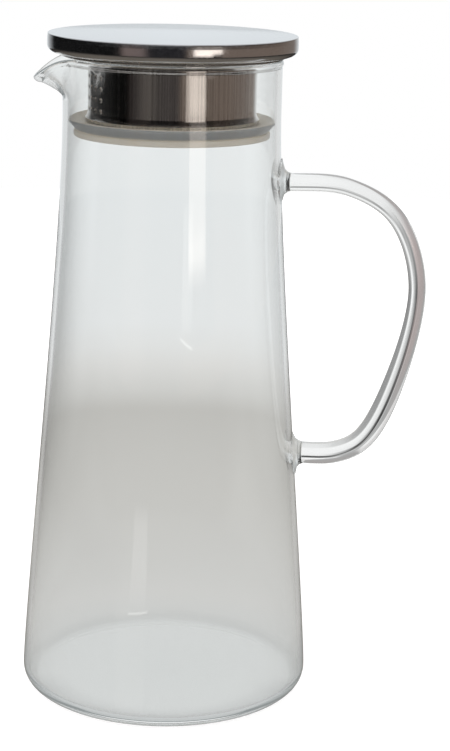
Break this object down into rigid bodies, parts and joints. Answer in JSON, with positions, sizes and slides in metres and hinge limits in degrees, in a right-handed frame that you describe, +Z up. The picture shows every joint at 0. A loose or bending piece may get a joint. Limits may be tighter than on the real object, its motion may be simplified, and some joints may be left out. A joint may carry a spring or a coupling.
{
  "type": "glass carafe",
  "caption": "Tapered clear glass carafe with a pulled spout, a welded glass ear handle and a lift-off steel lid with a strainer collar and silicone seal.",
  "frame": {"origin": "centre of the jug's flat foot, on the table", "axes": "+Z up along the jug's axis, +X towards the handle, -X towards the spout"},
  "size_m": [0.1647, 0.1186, 0.27],
  "materials": {
    "clear_glass": "clear fire-polished borosilicate",
    "handle_glass": "clear solid drawn glass rod",
    "polished_steel": "finely polished stainless steel",
    "plain_steel": "mill finish stainless steel",
    "brushed_steel": "upright brushed stainless steel",
    "silicone": "translucent grey silicone"
  },
  "bodies": {
    "carafe": {"glass_body": "clear_glass", "handle": "handle_glass"},
    "seal": {"seal_ring": "silicone"},
    "lid": {"lid_cap": "polished_steel", "lid_underplate": "plain_steel", "strainer_collar": "brushed_steel"}
  },
  "joints": [
    {"name": "lid_lift", "type": "slide", "parent": "carafe", "child": "seal", "axis": [0, 0, 1], "range_m": [0, 0.06]},
    {"name": "lid_turn", "type": "hinge", "parent": "seal", "child": "lid", "pos_m": [0, 0, 0.25], "axis": [0, 0, 1], "continuous": true}
  ]
}
